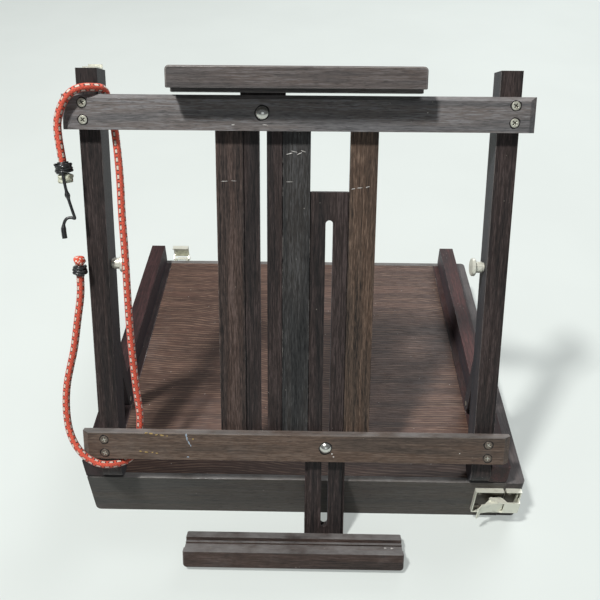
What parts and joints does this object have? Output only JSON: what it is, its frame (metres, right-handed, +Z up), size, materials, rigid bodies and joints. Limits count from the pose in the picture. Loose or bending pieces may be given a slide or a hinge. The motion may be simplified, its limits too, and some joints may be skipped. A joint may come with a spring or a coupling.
{
  "type": "pochade box",
  "caption": "Tabletop sketch-box easel: shallow wooden box with a side drawer, a leaning folding frame with sliding canvas clamp and tray, prop struts and a looped bungee cord.",
  "frame": {"origin": "centre of the box's underside, which is the outer face of the bottom panel", "axes": "+Z up, +Y from the front of the box to its back, +X towards the drawer front"},
  "size_m": [0.4308, 0.4593, 0.408],
  "materials": {
    "dark_wood": "dark walnut stain, worn edges",
    "slat_wood": "brown walnut stain, satin",
    "veneer": "brown stained open-grain veneer",
    "drawer_wood": "plain beech and plywood, unfinished",
    "nickel": "bright nickel plate",
    "screw_steel": "zinc-plated steel",
    "brass": "turned brass",
    "cord": "braided orange-red sheath with white and black flecks",
    "black_wire": "black plastic-coated steel wire"
  },
  "bodies": {
    "box": {"front_wall": "dark_wood", "back_wall": "dark_wood", "left_wall": "dark_wood", "left_top_member": "dark_wood", "right_top_member": "dark_wood", "top_panel": "veneer", "bottom_panel": "drawer_wood", "drawer_runners": "drawer_wood", "drawer_stop": "drawer_wood", "left_rail": "dark_wood", "right_rail": "dark_wood", "pivot_pins": "screw_steel", "pivot_washers": "screw_steel", "drawer_latch_base": "nickel", "latch_pins": "nickel", "latch_screws": "screw_steel", "frame_latch_block": "dark_wood", "frame_latch_base": "nickel"},
    "drawer": {"drawer_front": "dark_wood", "drawer_near_side": "drawer_wood", "drawer_far_side": "drawer_wood", "drawer_end": "drawer_wood", "drawer_floor": "drawer_wood", "drawer_dividers": "drawer_wood", "drawer_latch_catch": "nickel", "drawer_catch_screws": "screw_steel"},
    "drawer_latch_lever": {"drawer_latch_lever": "nickel"},
    "drawer_latch_claw": {"drawer_latch_claw": "nickel"},
    "frame_latch_lever": {"frame_latch_lever": "nickel"},
    "frame_latch_claw": {"frame_latch_claw": "nickel"},
    "easel_frame": {"left_post": "dark_wood", "right_post": "dark_wood", "lower_bar": "dark_wood", "upper_bar": "dark_wood", "left_slat": "slat_wood", "middle_slat": "slat_wood", "right_slat": "slat_wood", "mast_bolts": "nickel", "bolt_washers": "screw_steel", "bar_screws": "screw_steel", "slat_screws": "screw_steel", "thumb_screw_inserts": "brass", "latch_keeper": "nickel", "bungee_cord": "cord", "bungee_hook": "black_wire", "bungee_far_wrap": "black_wire", "bungee_end_knobs": "cord"},
    "upper_mast": {"upper_mast": "dark_wood", "canvas_clamp": "dark_wood", "canvas_clamp_screws": "screw_steel"},
    "lower_mast": {"lower_mast": "dark_wood", "canvas_tray": "dark_wood", "canvas_tray_screws": "screw_steel"},
    "left_strut": {"left_strut": "dark_wood"},
    "right_strut": {"right_strut": "dark_wood"},
    "left_thumb_screw": {"left_thumb_screw": "nickel"},
    "right_thumb_screw": {"right_thumb_screw": "nickel"},
    "upper_wing_nut": {"upper_wing_nut": "nickel"},
    "lower_wing_nut": {"lower_wing_nut": "nickel"}
  },
  "joints": [
    {"name": "drawer_slide", "type": "slide", "parent": "box", "child": "drawer", "axis": [1, 0, 0], "range_m": [0, 0.331]},
    {"name": "drawer_latch_lever_turn", "type": "hinge", "parent": "box", "child": "drawer_latch_lever", "pos_m": [0.1875, -0.1829, 0.0273], "axis": [0, 0, 1], "range_deg": [-10, 78]},
    {"name": "drawer_latch_claw_turn", "type": "hinge", "parent": "drawer_latch_lever", "child": "drawer_latch_claw", "pos_m": [0.17962, -0.18429, 0.0273], "axis": [0, 0, 1], "range_deg": [-78, 10]},
    {"name": "frame_latch_lever_turn", "type": "hinge", "parent": "box", "child": "frame_latch_lever", "pos_m": [-0.1775, 0.1933, 0.0398], "axis": [1, 0, 0], "range_deg": [-50, 50]},
    {"name": "frame_latch_claw_turn", "type": "hinge", "parent": "frame_latch_lever", "child": "frame_latch_claw", "pos_m": [-0.1775, 0.19943, 0.03466], "axis": [1, 0, 0], "range_deg": [-50, 50]},
    {"name": "frame_fold", "type": "hinge", "parent": "box", "child": "easel_frame", "pos_m": [-0.0092, -0.1702, 0.065], "axis": [-1, 0, 0], "range_deg": [0, 65.16]},
    {"name": "left_strut_swing", "type": "hinge", "parent": "box", "child": "left_strut", "pos_m": [-0.1885, -0.0875, 0.0645], "axis": [-1, 0, 0], "range_deg": [0, 90]},
    {"name": "right_strut_swing", "type": "hinge", "parent": "box", "child": "right_strut", "pos_m": [0.1701, -0.0875, 0.0645], "axis": [-1, 0, 0], "range_deg": [0, 90]},
    {"name": "upper_mast_slide", "type": "slide", "parent": "easel_frame", "child": "upper_mast", "axis": [0, 0.4201, 0.9075], "range_m": [-0.0014, 0.28]},
    {"name": "lower_mast_slide", "type": "slide", "parent": "easel_frame", "child": "lower_mast", "axis": [0, 0.4201, 0.9075], "range_m": [-0.001, 0.079]},
    {"name": "upper_wing_nut_turn", "type": "hinge", "parent": "easel_frame", "child": "upper_wing_nut", "pos_m": [-0.0383, -0.03223, 0.35828], "axis": [0, -0.9075, 0.4201], "continuous": true},
    {"name": "lower_wing_nut_turn", "type": "hinge", "parent": "easel_frame", "child": "lower_wing_nut", "pos_m": [0.0183, -0.15675, 0.0893], "axis": [0, -0.9075, 0.4201], "continuous": true},
    {"name": "left_thumb_screw_turn", "type": "hinge", "parent": "easel_frame", "child": "left_thumb_screw", "pos_m": [-0.168, -0.08862, 0.24123], "axis": [1, 0, 0], "continuous": true},
    {"name": "right_thumb_screw_turn", "type": "hinge", "parent": "easel_frame", "child": "right_thumb_screw", "pos_m": [0.1496, -0.08862, 0.24123], "axis": [1, 0, 0], "continuous": true}
  ],
  "couplings": [
    {"joint": "left_strut_swing", "follows": "frame_fold", "ratio": 1.381},
    {"joint": "right_strut_swing", "follows": "frame_fold", "ratio": 1.381},
    {"joint": "drawer_latch_claw_turn", "follows": "drawer_latch_lever_turn", "ratio": -1},
    {"joint": "frame_latch_claw_turn", "follows": "frame_latch_lever_turn", "ratio": -1}
  ]
}
